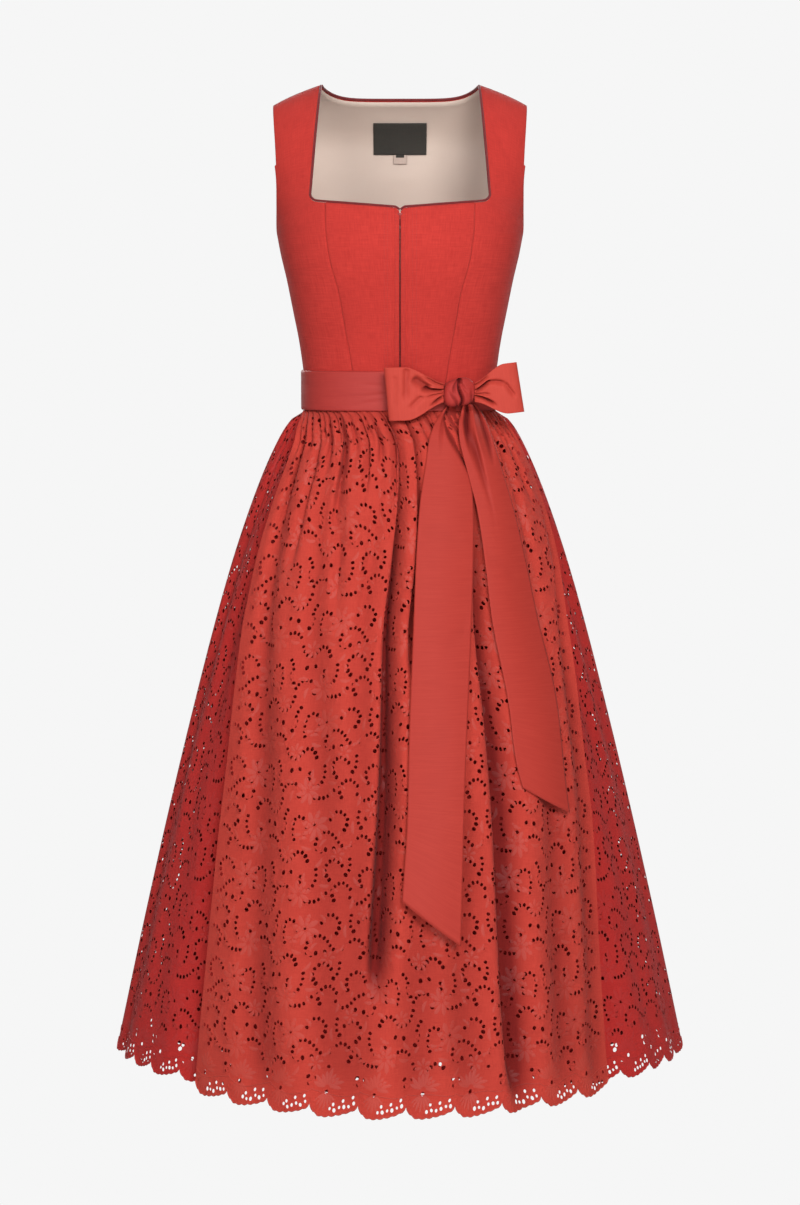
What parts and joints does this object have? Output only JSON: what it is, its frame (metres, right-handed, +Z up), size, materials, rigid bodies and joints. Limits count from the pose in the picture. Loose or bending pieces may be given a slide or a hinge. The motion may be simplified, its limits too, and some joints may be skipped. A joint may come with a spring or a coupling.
{
  "type": "dirndl",
  "caption": "Dirndl in its worn form: zipped square-neck bodice, gathered eyelet-lace skirt and a lace apron on a waistband tied in a bow.",
  "frame": {"origin": "midway between the two shoulder straps, at the height of their neck points, in the plane of the side seams", "axes": "+X to the wearer's left, -Y towards the front with the zip and the bow, +Z up"},
  "size_m": [0.7434, 0.6021, 1.2588],
  "materials": {
    "bodice_linen": "slubby woven linen in coral red, matt",
    "eyelet_lace": "embroidered cotton eyelet lace in coral red, matt, with satin-stitched rims",
    "lining_satin": "pink-beige satin, low sheen",
    "piping_cord": "dark red bias piping",
    "ribbon_taffeta": "ribbed taffeta in warm red, soft sheen",
    "zip_tape": "dark red woven zip tape",
    "zip_slider": "red enamelled metal",
    "label_cloth": "plain black-brown woven label, blank"
  },
  "bodies": {
    "root": {"front_centre_left": "bodice_linen", "front_centre_right": "bodice_linen", "front_side_left": "bodice_linen", "front_side_right": "bodice_linen", "back_side_left": "bodice_linen", "back_side_right": "bodice_linen", "back_centre": "bodice_linen", "lining_back": "lining_satin", "label": "label_cloth", "size_tab": "lining_satin", "piping_front_left": "piping_cord", "piping_front_right": "piping_cord", "piping_back": "piping_cord", "zip_tape_left": "zip_tape", "zip_tape_right": "zip_tape", "zip_slider": "zip_slider", "waistband_front": "ribbon_taffeta", "waistband_back": "ribbon_taffeta", "skirt_back": "eyelet_lace", "skirt_front": "eyelet_lace", "apron": "eyelet_lace", "bow_knot": "ribbon_taffeta", "bow_loop_left": "ribbon_taffeta", "bow_loop_right": "ribbon_taffeta", "streamer_long": "ribbon_taffeta", "streamer_short": "ribbon_taffeta"}
  },
  "joints": []
}
